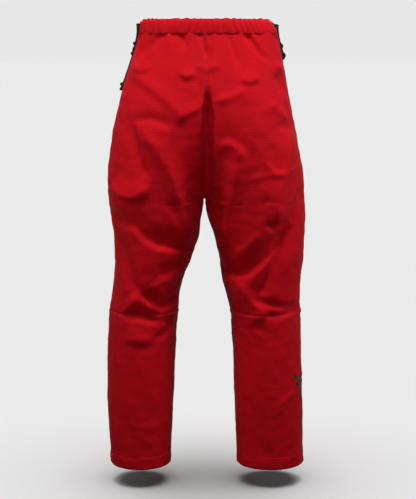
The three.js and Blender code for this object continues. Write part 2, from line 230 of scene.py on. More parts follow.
# The front, seen from the front with across counted to the right.
FRONT_FOLDS = [
    ([(-96, 24), (-104, 60), (-122, 88)], -3.5, 10, 12),
    ([(-52, 24), (-46, 60), (-34, 96)], -4.0, 9, 12),
    ([(-12, 24), (-8, 66)], -2.6, 8, 8),
    ([(18, 24), (22, 70), (34, 104)], -3.6, 9, 10),
    ([(62, 24), (70, 66), (84, 96)], -3.8, 10, 12),
    ([(112, 24), (122, 60), (140, 84)], -3.0, 10, 10),
    ([(-18, 372), (-70, 344), (-128, 330)], -6.0, 26, 14),
    ([(-16, 352), (-74, 306), (-150, 276)], 4.0, 14, 30),
    ([(-12, 330), (-52, 270), (-104, 216)], -3.6, 20, 22),
    ([(18, 372), (74, 340), (134, 322)], -5.5, 26, 14),
    ([(14, 350), (66, 300), (148, 262)], 4.2, 14, 30),
    ([(12, 322), (46, 262), (92, 200)], -3.4, 20, 22),
    ([(-196, 402), (-140, 420), (-84, 418)], 3.6, 16, 34),
    ([(196, 392), (146, 414), (92, 420)], 3.2, 16, 34),
    ([(-66, 520), (-110, 538), (-158, 528)], -4.0, 26, 10),
    ([(60, 500), (104, 522), (152, 516)], -4.0, 26, 10),
    ([(-190, 596), (-136, 622), (-84, 606)], 4.6, 14, 32),
    ([(190, 586), (136, 616), (86, 604)], 4.4, 14, 32),
    ([(-184, 668), (-134, 650), (-88, 664)], -3.6, 12, 28),
    ([(186, 660), (132, 646), (86, 656)], -3.4, 12, 28),
    ([(-150, 700), (-132, 780), (-140, 860)], 1.8, 30, 30),
    ([(150, 700), (132, 780), (140, 860)], 1.8, 30, 30),
    ([(-176, 870), (-130, 884), (-92, 874)], 1.6, 14, 24),
    ([(176, 866), (130, 882), (90, 872)], 1.6, 14, 24),
]


# One share for the heights of all folds, and how sharp each fold's crest is.
FOLD_SHARE = 1.95
FOLD_CREST = 1.45


def fold_height(across, drop, folds):
    """Height of the folds at each point, in millimetres. Along a fold's line the height is its own. To
    either side it falls as a power of the share of the reach that is left, and it dies away towards both
    ends."""
    total = np.zeros_like(across)
    for line, height, upper, lower in folds:
        line = np.array(line, float)
        runs = np.linalg.norm(np.diff(line, axis=0), axis=1)
        starts = np.concatenate([[0], np.cumsum(runs)])
        best = np.full(across.shape, np.inf)
        side = np.zeros_like(across)
        along = np.zeros_like(across)
        for (a, b), run, start in zip(zip(line[:-1], line[1:]), runs, starts):
            unit = (b - a) / run
            reach = np.clip((across - a[0]) * unit[0] + (drop - a[1]) * unit[1], 0, run)
            dx = across - a[0] - unit[0] * reach
            dy = drop - a[1] - unit[1] * reach
            apart = np.hypot(dx, dy)
            nearer = apart < best
            best = np.where(nearer, apart, best)
            side = np.where(nearer, dx * unit[1] - dy * unit[0], side)
            along = np.where(nearer, start + reach, along)
        share = along / starts[-1]
        width = lower + (upper - lower) * step(side / np.maximum(best, 0.01), -0.6, 0.6)
        taper = np.clip(np.minimum(share, 1 - share) / 0.16, 0.0, 1.0) ** 0.6
        left = np.clip(1 - best / width, 0, 1)
        total += height * left**FOLD_CREST * (0.2 + 0.8 * taper)
    return total * FOLD_SHARE


def ripple(x, y, z, seed, shortest, longest, count):
    """Fine unevenness between -1 and 1 or so: a sum of waves in random directions, shortest to longest
    long."""
    random = np.random.default_rng(seed)
    total = np.zeros_like(x)
    for _ in range(count):
        way = random.normal(size=3)
        way /= np.linalg.norm(way)
        length = shortest * (longest / shortest) ** random.random()
        turn = random.random() * 2 * math.pi
        total += np.sin((x * way[0] + y * way[1] + z * way[2]) * 2 * math.pi / length + turn)
    return total / math.sqrt(count)


# The columns of a leg lie close together beside the seams, where the cloth is doubled and stitched.
SEAM_WIDTH_MM = 9.0
SEAM_RISE_MM = 0.9
STITCH_IN_MM = 1.7
SEAM_STEPS_MM = np.array([0.0, 0.5, 1.1, STITCH_IN_MM, 2.6, 4.5, 6.4, SEAM_WIDTH_MM - STITCH_IN_MM,
                          8.0, 8.6, 9.2])
PANEL_COLUMNS = 84
ROW_STEP_MM = 3.1
CLOTH_MM = 1.1
GATHERS = 23
LEAN_MM = 6.0
CLOSE_MM = 3.6


def leg_rows():
    """Drops of a leg's rows: evenly spaced, with closer ones beside the knee seam and the hem's
    stitches."""
    even = np.arange(WAIST_DEPTH_MM - 4, OUTSEAM_MM, ROW_STEP_MM)
    marks = [KNEE_MM - 8, KNEE_MM - 1.2, KNEE_MM - 0.6, KNEE_MM, KNEE_MM + 0.6, KNEE_MM + 1.2, KNEE_MM + 7,
             HEM_TOP_MM - 1, HEM_TOP_MM, HEM_TOP_MM + 1, HEM_TOP_MM + 2.2, HEM_TOP_MM + 3.4,
             CROTCH_MM, KNEE_PATCH_TOP_MM, CROTCH_PATCH_FOOT_MM,
             OUTSEAM_MM - 1.2, OUTSEAM_MM - 0.4, OUTSEAM_MM]
    clear = np.min(np.abs(even[:, None] - np.array(marks)[None, :]), axis=1) > 0.5 * ROW_STEP_MM
    return np.unique(np.concatenate([even[clear], marks]))


def leg_grid(leg):
    """Grid of one leg's cloth, from the front middle or inside-leg seam round the side seam to the back
    one: the ellipse's points, moved out along its normal by the folds, the gathers, the seams' doubled
    cloth and ripple. Returns the outer points, the outward normals, the columns' distances from the side
    seam, and the rows."""
    rows = leg_rows()
    centre, width, depth, middle = (v[:, None] for v in section(leg, rows))
    cut = np.clip(-centre / width, -1, 1)
    last = np.arccos(cut)
    near = SEAM_STEPS_MM[None, :] / depth
    end_speed = np.sqrt((width * np.sin(last)) ** 2 + (depth * np.cos(last)) ** 2)
    far = last - SEAM_STEPS_MM[::-1][None, :] / end_speed
    share = np.linspace(0, 1, PANEL_COLUMNS)[None, 1:-1]
    between = near[:, -1:] + share * (far[:, :1] - near[:, -1:])
    back = np.concatenate([near, between, far], axis=1)
    angle = np.concatenate([-back[:, ::-1], back[:, 1:]], axis=1)
    x = leg["sign"] * (centre + width * np.cos(angle))
    y = middle + depth * np.sin(angle)
    z = np.repeat(-rows[:, None], angle.shape[1], axis=1)
    nx = leg["sign"] * np.cos(angle) / width
    ny = np.sin(angle) / depth
    size = np.hypot(nx, ny)
    nx, ny = nx / size, ny / size
    drop = -z
    # how much of a fold seen from one side reaches round to each point
    behind = step(ny, -0.35, 0.25)
    before = step(-ny, -0.1, 0.35)
    height = behind * fold_height(-x, drop, BACK_FOLDS) * (0.35 + 0.65 * step(ny, -0.1, 0.5))
    height += before * fold_height(x, drop, FRONT_FOLDS)
    # gathers below the waistband
    turn = np.arctan2(y, x)
    phase = turn * GATHERS + 1.3 * np.sin(3 * turn + 0.6) + 0.9 * np.sin(7 * turn + 2.0)
    fade = np.clip(1 - (drop - WAIST_DEPTH_MM) / 90, 0, 1) ** 1.7
    height += 2.1 * np.sin(phase) * fade
    slack = np.exp(-(((drop - KNEE_MM) / 90) ** 2)) + 0.7 * np.exp(-(((drop - CROTCH_MM) / 110) ** 2))
    height += 1.1 * slack * np.abs(ripple(x, y, z * 2.2, 21, 30, 80, 12)) ** 0.7 * np.sign(ny + 1.2)
    uneven = 0.5 + 0.5 * step(drop, 60, 200) * (1 - 0.5 * step(drop, 650, 760))
    height += 0.75 * ripple(x, y, z, 5, 22, 64, 40) * uneven
    height += 0.2 * ripple(x, y, z, 11, 9, 20, 40)
    height = blur(blur(height, 2, 0), 2, 1)
    # the seams: doubled cloth on the back side of the side seam, and on the left of the seat and
    # inside-leg seams
    arc = np.abs(angle) * depth
    doubled = step(arc, -0.3, 0.5) * (1 - step(arc, SEAM_WIDTH_MM - 0.5, SEAM_WIDTH_MM + 0.2))
    doubled = doubled * (angle > -1e-9)
    end_arc = (last - np.abs(angle)) * end_speed
    middle_side = (1 - step(end_arc, SEAM_WIDTH_MM - 0.5, SEAM_WIDTH_MM + 0.2)) * (leg["sign"] > 0)
    inner_side = (1 - step(end_arc, SEAM_WIDTH_MM - 0.5, SEAM_WIDTH_MM + 0.2)) * (angle > 0)
    middle_side = middle_side * step(end_arc, -0.3, 0.5)
    doubled = np.maximum(doubled, np.where(drop < CROTCH_MM, middle_side, inner_side))
    for line in (STITCH_IN_MM, SEAM_WIDTH_MM - STITCH_IN_MM):
        height -= 0.35 * np.exp(-((arc - line) / 0.8) ** 2) * (angle > 0)
        height -= 0.35 * np.exp(-((end_arc - line) / 0.8) ** 2)
    height -= 0.9 * np.exp(-(arc / 0.9) ** 2)
    height -= 1.0 * np.exp(-(end_arc / 1.2) ** 2) * (drop > CROTCH_MM)
    height += SEAM_RISE_MM * doubled
    # the seam across the knee and the step down to the hem's stitches
    pull = 0.6 + 0.4 * np.sin(turn * 61)
    height -= 1.0 * np.exp(-((drop - KNEE_MM) / 1.6) ** 2)
    height += 0.7 * step(drop, KNEE_MM, KNEE_MM + 1.5) * (1 - step(drop, KNEE_MM + 7, KNEE_MM + 9))
    height -= 1.0 * pull * np.exp(-((drop - HEM_TOP_MM - 2.2) / 1.8) ** 2)
    height += 0.9 * step(drop, HEM_TOP_MM - 1, HEM_TOP_MM + 1)
    height += 0.6 * np.sin(turn * 34 + 2 * np.sin(5 * turn)) * np.exp(-((drop - HEM_TOP_MM - 12) / 8) ** 2)
    height -= 1.0 * step(drop, OUTSEAM_MM - 1.6, OUTSEAM_MM)
    # both legs keep one line where they meet, so the sideways part of the move dies away there
    meets = np.where(drop < CROTCH_MM, step(np.abs(x), 0, 14), 1.0)
    lean = LEAN_MM * step(drop, 190, 350) * (1 - step(drop, 400, 470)) * np.exp(-((x / 48) ** 2))
    close = np.where(drop > CROTCH_MM, CLOSE_MM * step(drop, CROTCH_MM, 388) * (1 - step(drop, 395, 440)), 0)
    x = x + height * nx * meets + lean - leg["sign"] * close * np.exp(-((x / 26) ** 2))
    y = y + height * ny
    points = np.stack([x, y, z], axis=2)
    down = np.gradient(points, axis=0)
    across = np.gradient(points, axis=1)
    normal = np.cross(across, down) * -leg["sign"]
    normal /= np.linalg.norm(normal, axis=2, keepdims=True)
    facing = normal[..., 0] * nx + normal[..., 1] * ny
    normal *= np.sign(np.median(facing))
    # the two edges of a closed leg share one normal
    ends = normal[:, 0] + normal[:, -1]
    ends /= np.maximum(np.linalg.norm(ends, axis=1, keepdims=True), 1e-6)
    closed = (rows >= CROTCH_MM)[:, None]
    normal[:, 0] = np.where(closed, ends, normal[:, 0])
    normal[:, -1] = np.where(closed, ends, normal[:, -1])
    around = np.concatenate([-arc[:, :arc.shape[1] // 2], arc[:, arc.shape[1] // 2:]], axis=1)
    return points, normal, around, rows


def srgb(code):
    """Linear colour with full alpha from a six-digit sRGB hex code, by the sRGB curve."""
    parts = np.array([int(code[i:i + 2], 16) / 255 for i in (1, 3, 5)])
    linear = np.where(parts <= 0.04045, parts / 12.92, ((parts + 0.055) / 1.055) ** 2.4)
    return (*linear.tolist(), 1.0)


def node(tree, kind, settings=None, **links):
    """Adds a shader node. settings are its own properties, and links set its inputs by name with _ for a
    space: a number or colour sets the input, and a socket is joined to it. in0, in1 and in2 stand for
    inputs by number."""
    made = tree.nodes.new(kind)
    for key, value in (settings or {}).items():
        setattr(made, key, value)
    for key, value in links.items():
        name = int(key[2:]) if key[:2] == "in" and key[2:].isdigit() else key.replace("_", " ")
        if isinstance(value, bpy.types.NodeSocket):
            tree.links.new(value, made.inputs[name])
        else:
            made.inputs[name].default_value = value
    return made


def material(name):
    """A new material with no nodes, and its tree."""
    made = bpy.data.materials.new(name)
    made.use_nodes = True
    made.node_tree.nodes.clear()
    return made, made.node_tree


def math_node(tree, operation, *values):
    """One arithmetic node over numbers or sockets. Returns its output."""
    made = node(tree, "ShaderNodeMath", {"operation": operation})
    for i, value in enumerate(values):
        if isinstance(value, bpy.types.NodeSocket):
            tree.links.new(value, made.inputs[i])
        else:
            made.inputs[i].default_value = value
    return made.outputs[0]


def finish_material(tree, colour, roughness, normal, **settings):
    """Joins a colour, a roughness and a normal to the surface shader and the output."""
    shader = node(tree, "ShaderNodeBsdfPrincipled", None, Base_Color=colour, Roughness=roughness, **settings)
    if normal is not None:
        tree.links.new(normal, shader.inputs["Normal"])
    node(tree, "ShaderNodeOutputMaterial", None, Surface=shader.outputs[0])


def lines(tree, place, pitch, width):
    """Raised threads across one coordinate: 1 on a thread, 0 between, repeating every pitch metres."""
    wave = math_node(tree, "PINGPONG", place, pitch / 2)
    return node(tree, "ShaderNodeMapRange", {"interpolation_type": "SMOOTHSTEP"}, Value=wave,
                From_Min=width / 2, From_Max=width * 0.15, To_Min=0.0, To_Max=1.0).outputs[0]


def ripstop(name, base, dark):
    """Plain-woven cotton with a heavier thread every 5.5 mm both ways. It gives a matt face with a faint
    grid, most seen along the rows, over a fine weave and the slight unevenness of piece-dyed cloth."""
    made, tree = material(name)
    uv = node(tree, "ShaderNodeUVMap", {"uv_map": "cloth"}).outputs[0]
    place = node(tree, "ShaderNodeSeparateXYZ", None, Vector=uv)
    grid_across = lines(tree, place.outputs[0], 0.0055, 0.0011)
    grid_down = lines(tree, place.outputs[1], 0.0055, 0.0014)
    weave_across = lines(tree, place.outputs[0], 0.0009, 0.0009)
    weave_down = lines(tree, place.outputs[1], 0.0009, 0.0009)
    grid = math_node(tree, "MAXIMUM", math_node(tree, "MULTIPLY", grid_across, 0.35), grid_down)
    weave = math_node(tree, "MULTIPLY", weave_across, weave_down)
    spot = node(tree, "ShaderNodeTexCoord").outputs["Object"]
    cloud = node(tree, "ShaderNodeTexNoise", None, Vector=spot, Scale=14.0, Detail=4.0, Roughness=0.6)
    cloud = cloud.outputs[0]
    fuzz = node(tree, "ShaderNodeTexNoise", None, Vector=spot, Scale=900.0, Detail=2.0).outputs[0]
    tone = math_node(tree, "MULTIPLY_ADD", cloud, 0.55, 0.12)
    tone = math_node(tree, "MULTIPLY_ADD", grid, 0.35, tone)
    tone = math_node(tree, "MULTIPLY_ADD", fuzz, 0.25, tone)
    colour = node(tree, "ShaderNodeMix", {"data_type": "RGBA"}, in0=tone, in6=srgb(dark), in7=srgb(base))
    height = math_node(tree, "MULTIPLY_ADD", grid, 1.0, math_node(tree, "MULTIPLY", weave, 0.5))
    height = math_node(tree, "MULTIPLY_ADD", fuzz, 0.35, height)
    bump = node(tree, "ShaderNodeBump", None, Strength=0.55, Distance=0.00025, Height=height)
    rough = math_node(tree, "MULTIPLY_ADD", cloud, 0.14, 0.70)
    finish_material(tree, colour.outputs[2], rough, bump.outputs[0], Specular_IOR_Level=0.14,
                    Sheen_Weight=0.06, Sheen_Roughness=0.45, Sheen_Tint=srgb("#FF8090"))
    return made


RED_CLOTH = ripstop("red_cotton_ripstop", "#D40016", "#B4000F")
# The same ripstop in darker colours for the pieces inside the trousers, the crotch patches and the waistband
# facing. The darker colour is painted shade.
RED_CLOTH_PAINTED_SHADE = ripstop("red_cotton_ripstop_painted_shade", "#B40012", "#8E000A")


def grid_faces(rows, columns, start=0, flip=False, ring=False):
    """Four-cornered faces over a grid of points counted along its rows, turned round if flip is set, and
    closed from the last column to the first if ring is set."""
    across = columns if ring else columns - 1
    r, c = np.meshgrid(np.arange(rows - 1), np.arange(across), indexing="ij")
    n = (c + 1) % columns
    faces = np.stack([r * columns + c, r * columns + n, (r + 1) * columns + n, (r + 1) * columns + c], axis=2)
    faces = faces.reshape(-1, 4) + start
    return faces[:, ::-1] if flip else faces


def build(name, points, faces, finish, uv=None, sharp=60):
    """Mesh object from points in millimetres and four-cornered faces, with its UV map in metres."""
    mesh = bpy.data.meshes.new(name)
    mesh.from_pydata((points * MM).tolist(), [], faces.tolist())
    mesh.polygons.foreach_set("use_smooth", np.ones(len(faces), bool))
    if uv is not None:
        layer = mesh.uv_layers.new(name="cloth")
        layer.data.foreach_set("uv", (uv[faces.reshape(-1)] * MM).astype(np.float32).reshape(-1))
    mesh.set_sharp_from_angle(angle=math.radians(sharp))
    mesh.materials.append(finish)
    made = bpy.data.objects.new(name, mesh)
    bpy.context.scene.collection.objects.link(made)
    return made


def cut_edges(faces, count):
    """Edges that only one face has, each with the face's own direction: those whose reverse no face
    has."""
    ends = np.stack([faces, np.roll(faces, -1, axis=1)], axis=2).reshape(-1, 2)
    alone = ~np.isin(ends[:, 0] * count + ends[:, 1], ends[:, 1] * count + ends[:, 0])
    return ends[alone]


def cloth_piece(name, points, normal, around, rows, finish, outer=0.0, thick=CLOTH_MM, ring=False, hole=None):
    """A layer of cloth over part of a grid: its outer face lies at the grid's points moved out by outer,
    its inner face thick further in, its faces are left out where hole is set at their first corner, and
    its edges closed."""
    r, c = points.shape[:2]
    outside = points + normal * outer
    inside = points + normal * (outer - thick)
    u = around if around.ndim == 2 else np.repeat(around[None], r, axis=0)
    v = np.repeat(rows[:, None], c, axis=1)
    uv = np.stack([u, v], axis=2).reshape(-1, 2)
    all_points = np.concatenate([outside.reshape(-1, 3), inside.reshape(-1, 3)])
    count = r * c
    a, b, d = outside[r // 2, c // 2], outside[r // 2, c // 2 + 1], outside[r // 2 + 1, c // 2]
    flip = np.dot(np.cross(b - a, d - a), normal[r // 2, c // 2]) < 0
    top = grid_faces(r, c, 0, flip, ring)
    if hole is not None:
        top = top[~hole.reshape(-1)[top].any(axis=1)]
    edges = cut_edges(top, count)
    rims = np.stack([edges[:, 1], edges[:, 0], edges[:, 0] + count, edges[:, 1] + count], axis=1)
    faces = np.concatenate([top, top[:, ::-1] + count, rims])
    return build(name, all_points, faces, finish, np.concatenate([uv, uv]))


def own_cloth(piece, slot, flat, held, *nodes, area=None, rests_on=()):
    """Puts a piece of cloth on the trousers' body and hides the parts of the model that it stands for. Its
    finish and cut, slot and flat, are not used.
    """
    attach(piece, "trousers")
    if nodes:
        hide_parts(*nodes)


# ---- panels, knee patches, crotch patches and hems -----------------------------------------------------
# Each leg is a front and a back panel with a lower front and a lower back sewn on at the knee. A second
# layer covers the knee on the outside and the crotch on the inside, and the foot of each leg is turned up
# into a hem.
GRIDS = {name: leg_grid(leg) for name, leg in LEGS.items()}
PATCH_LIFT_MM = 0.35
PATCH_SIDE_MM = 14.0
HEM_THICK_MM = 2.3

for name, (points, normal, around, rows) in GRIDS.items():
    middle = points.shape[1] // 2
    knee = int(np.searchsorted(rows, KNEE_MM))
    hem = int(np.searchsorted(rows, HEM_TOP_MM))
    crotch = int(np.searchsorted(rows, CROTCH_MM))
    for face, columns in (("front", slice(0, middle + 1)), ("back", slice(middle, None))):
        upper = cloth_piece(f"{name}_{face}_panel_cloth",
                            points[:knee + 1, columns], normal[:knee + 1, columns],
                            around[:knee + 1, columns], rows[:knee + 1], RED_CLOTH)
        own_cloth(upper, "red_ripstop", (0.34, 0.6), "hung", f"{name}_{face}_panel", area=0.15)
        lower = cloth_piece(f"{name}_lower_{face}_cloth",
                            points[knee:hem + 1, columns], normal[knee:hem + 1, columns],
                            around[knee:hem + 1, columns], rows[knee:hem + 1], RED_CLOTH)
        own_cloth(lower, "red_ripstop", (0.23, 0.33), "hung", f"{name}_lower_{face}")
    turned = cloth_piece(f"{name}_hem_cloth", points[hem:, :-1], normal[hem:, :-1],
                         around[hem:, :-1], rows[hem:],
                         RED_CLOTH, 0.0, HEM_THICK_MM, ring=True)
    own_cloth(turned, "red_ripstop", (0.44, 0.03), "folded", f"{name}_hem")

    top = int(np.searchsorted(rows, KNEE_PATCH_TOP_MM))
    inside = int(np.searchsorted(around[knee, :middle + 1], around[knee, 0] + PATCH_SIDE_MM))
    outside = int(np.searchsorted(around[knee, :middle + 1], -PATCH_SIDE_MM))
    patch = cloth_piece(f"{name}_knee_patch_cloth",
                        points[top:hem, inside:outside], normal[top:hem, inside:outside],
                        around[top:hem, inside:outside], rows[top:hem], RED_CLOTH, PATCH_LIFT_MM + CLOTH_MM)
    own_cloth(patch, "red_ripstop", (0.22, 0.5), "laid", f"{name}_knee_patch",
              rests_on=[f"{name}_front_panel_cloth"])

    foot = int(np.searchsorted(rows, CROTCH_PATCH_FOOT_MM))
    reach = 30
    order = np.r_[np.arange(points.shape[1] - reach, points.shape[1] - 1), np.arange(0, reach)]
    wrapped = np.concatenate([around[:, -reach:-1], around[:, :reach] + 2 * around[:, -1:]], axis=1)
    # The crotch patch takes the darker copy of the cloth: painted shade.
    lining = cloth_piece(f"{name}_crotch_patch_cloth",
                         points[crotch + 3:foot, order], normal[crotch + 3:foot, order],
                         wrapped[crotch + 3:foot], rows[crotch + 3:foot],
                         RED_CLOTH_PAINTED_SHADE, -CLOTH_MM - PATCH_LIFT_MM)
    own_cloth(lining, "red_ripstop", (0.12, 0.085), "laid", f"{name}_crotch_patch",
              rests_on=[f"{name}_back_panel_cloth"])


# ---- waistband -----------------------------------------------------------------------------------------
# A tube of the same cloth turned down over the drawcord and stitched at its foot, gathered into small
# puffs, with a facing band inside that lies against the wearer.
WAIST_COLUMNS = 640
WAIST_GATHERS = 46
TUBE_OUT_MM = 4.4
TUBE_IN_MM = 6.8
SLOT_CENTRE_MM = 5.0
SLOT_LENGTH_MM = 33.0
SLOT_HEIGHT_MM = 8.6
SLOT_DROPS_MM = {"left": 13.2, "right": 14.8}


def waist_points(profile):
    """Points of a closed profile of (offset, drop) carried round the waist, the profile's points along
    the rows. At each turn the ellipse of that side is met at the drop, and the offset is laid off along
    its normal."""
    turn = (np.arange(WAIST_COLUMNS) + 0.5) / WAIST_COLUMNS * 2 * math.pi
    offset, drop = profile(turn)
    left = section(LEGS["left"], np.clip(drop, 0, 60))
    right = section(LEGS["right"], np.clip(drop, 0, 60))
    east = (np.cos(turn) > 0)[None, :]
    centre, width, depth, middle = (np.where(east, a, b) for a, b in zip(left, right))
    angle = np.arctan2(np.sin(turn), np.abs(np.cos(turn)))[None, :]
    sign = np.where(east, 1, -1)
    nx, ny = np.cos(angle) / width, np.sin(angle) / depth
    size = np.hypot(nx, ny)
    x = sign * (centre * (np.abs(np.cos(angle)) > 0.2) + width * np.cos(angle) + offset * nx / size)
    y = middle + depth * np.sin(angle) + offset * ny / size
    return np.stack([x, y, -drop], axis=2), turn


def gather_wave(turn):
    """Puffs between the gathers, 0 in a pinch and 1 on a puff, uneven in width round the waist."""
    phase = turn * WAIST_GATHERS / 2 + 1.6 * np.sin(3 * turn + 0.4) + 1.1 * np.sin(8 * turn + 1.1)
    return np.abs(np.sin(phase)) ** 0.7


def casing_profile(turn):
    """The tube's loop from the stitched foot up its outer face, over the top and down its inner face."""
    puff = gather_wave(turn)[None, :]
    calm = np.exp(-(((98 * np.sin(turn) - SLOT_CENTRE_MM) / 26) ** 4))
    puff = puff + (0.85 - puff) * calm[None, :]
    p = np.linspace(0, 1, 44)[:, None]
    outer = p < 0.5
    rise = np.where(outer, p * 2, (1 - p) * 2)
    swell = np.sin(np.clip(rise, 0, 1) * math.pi * 0.93 + 0.12) ** 0.75
    out = (0.9 + (TUBE_OUT_MM - 0.9) * swell * (0.12 + 0.88 * puff))
    inn = -(1.6 + (TUBE_IN_MM - 1.6) * swell)
    offset = np.where(outer, out, inn)
    near_top = step(rise, 0.8, 1.0)
    offset = offset * (1 - near_top) + (-1.2 + 0.8 * (puff - 0.5)) * near_top
    lip = 3.4 * (1 - puff) + 0.8 * np.sin(turn * 9)[None, :]
    drop = WAIST_DEPTH_MM * (1 - rise) ** 0.9
    drop = drop + lip * step(rise, 0.4, 1.0) + 0.5 * np.sin(turn * 37)[None, :] * (1 - rise)
    return offset, np.maximum(drop, 0.0)


def waist_band(name, profile, finish, thick, slots=False):
    """A layer of cloth carried round the waist along a profile, with thick taken inwards, and with the
    slots of the two buttonholes left open in its outer face if slots is set."""
    points, turn = waist_points(profile)
    down = np.gradient(points, axis=0)
    across = np.roll(points, -1, axis=1) - np.roll(points, 1, axis=1)
    normal = np.cross(down, across)
    normal /= np.linalg.norm(normal, axis=2, keepdims=True)
    outwards = points[:, :, :2] / np.linalg.norm(points[:, :, :2], axis=2, keepdims=True)
    if np.mean(normal[2, :, :2] * outwards[2]) < 0:
        normal = -normal
    runs = np.concatenate([[0], np.cumsum(np.linalg.norm(np.diff(points, axis=0), axis=2).mean(axis=1))])
    around = turn * 125.0
    hole = np.zeros(points.shape[:2], bool)
    if slots:
        straight = (SLOT_LENGTH_MM - SLOT_HEIGHT_MM) / 2
        for side, sign in (("left", 1), ("right", -1)):
            run = np.maximum(np.abs(points[..., 1] - SLOT_CENTRE_MM) - straight, 0)
            fall = -points[..., 2] - SLOT_DROPS_MM[side]
            hole |= (np.hypot(run, fall) < SLOT_HEIGHT_MM / 2) & (points[..., 0] * sign > 60)
        hole[len(hole) // 2:] = False
    return cloth_piece(name, points, normal, around, runs, finish, 0.0, thick, ring=True, hole=hole)


casing = waist_band("waistband_casing_cloth", casing_profile, RED_CLOTH, CLOTH_MM, slots=True)
own_cloth(casing, "red_ripstop", (1.0, 0.065), "gathered", "waistband_casing")


def facing_profile(turn):
    """A flat band just inside the tube."""
    p = np.linspace(0, 1, 10)[:, None]
    offset = -8.1 + 0.5 * np.sin(turn * 23 + 1)[None, :] * (0.3 + 0.7 * p) + 0 * p
    return offset, 2.0 + 27.0 * p + 0 * turn[None, :]


# The facing takes the darker copy of the cloth: painted shade.
facing = waist_band("waistband_facing_cloth", facing_profile, RED_CLOTH_PAINTED_SHADE, CLOTH_MM)
own_cloth(facing, "red_ripstop", (0.8, 0.028), "gathered", "waistband_facing")


# ---- topstitching --------------------------------------------------------------------------------------
# Lockstitch in red polyester thread along both edges of each felled seam, the knee seams, the
# reinforcements, the hems and the foot of the waistband. Each stitch is a short bar of thread that sinks
# into the cloth at both ends.
STITCH_PITCH_MM = 3.4
STITCH_LENGTH_MM = 2.7
STITCH_WIDTH_MM = 0.75
KNEE_STITCH_MM = (1.8, 6.0)
HEM_STITCH_MM = 2.2
PATCH_QUILT_ROWS = (40, 80, 120)


def thread(name, colour):
    """Polyester sewing thread. It is smoother than the cotton, so each stitch shows as a slightly
    brighter bar."""
    made, tree = material(name)
    spot = node(tree, "ShaderNodeTexCoord").outputs["Object"]
    ply = node(tree, "ShaderNodeTexNoise", None, Vector=spot, Scale=1400.0, Detail=1.0).outputs[0]
    tone = node(tree, "ShaderNodeMix", {"data_type": "RGBA"}, in0=ply, in6=srgb(colour), in7=srgb("#8A000C"))
    bump = node(tree, "ShaderNodeBump", None, Strength=0.4, Distance=0.0001, Height=ply)
    finish_material(tree, tone.outputs[2], 0.45, bump.outputs[0], Specular_IOR_Level=0.3)
    return made


RED_THREAD = thread("red_polyester_thread", "#C00014")


def stitch_bars(points, normal):
    """Points and faces of the stitches along one line: bars of four rings of four points, thick in the
    middle and thin at the ends, one every pitch along the line and lying on the surface by its
    normals."""
    runs = np.linalg.norm(np.diff(points, axis=0), axis=1)
    place = np.concatenate([[0], np.cumsum(runs)])
    count = max(int(place[-1] / STITCH_PITCH_MM), 1)
    starts = (np.arange(count) + 0.5) * place[-1] / count
    ring_at = np.array([-0.5, -0.28, 0.28, 0.5]) * STITCH_LENGTH_MM
    thick = np.array([0.2, 1.0, 1.0, 0.2])
    lift = np.array([-0.05, 0.3, 0.3, -0.05])
    at = starts[:, None] + ring_at[None]
    centre = np.stack([np.interp(at, place, points[:, i]) for i in range(3)], axis=2)
    up = np.stack([np.interp(starts, place, normal[:, i]) for i in range(3)], axis=1)
    along = centre[:, -1] - centre[:, 0]
    along /= np.maximum(np.linalg.norm(along, axis=1, keepdims=True), 1e-9)
    aside = np.cross(along, up)
    aside /= np.maximum(np.linalg.norm(aside, axis=1, keepdims=True), 1e-9)
    up = np.cross(aside, along)
    turn = np.arange(4) * math.pi / 2
    half = STITCH_WIDTH_MM / 2
    wide = np.cos(turn)[None, None, :, None] * aside[:, None, None]
    high = 0.8 * np.sin(turn)[None, None, :, None] * up[:, None, None]
    rings = centre[:, :, None] + half * thick[None, :, None, None] * (wide + high)
    rings = rings + lift[None, :, None, None] * up[:, None, None]
    base = (np.arange(count) * 16)[:, None, None]
    walls = grid_faces(4, 4, 0, True, True)[None] + base
    caps = np.array([[0, 1, 2, 3], [15, 14, 13, 12]])[None] + base
    return rings.reshape(-1, 3), np.concatenate([walls, caps], axis=1).reshape(-1, 4)


def sewing(name, lines_of, finish=None):
    """One object with the stitches along several (points, normal) lines."""
    all_points, all_faces, count = [], [], 0
    for line, up in lines_of:
        bars, faces = stitch_bars(line, up)
        all_points.append(bars)
        all_faces.append(faces + count)
        count += len(bars)
    made = build(name, np.concatenate(all_points), np.concatenate(all_faces), finish or RED_THREAD)
    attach(made, "trousers")
    return made


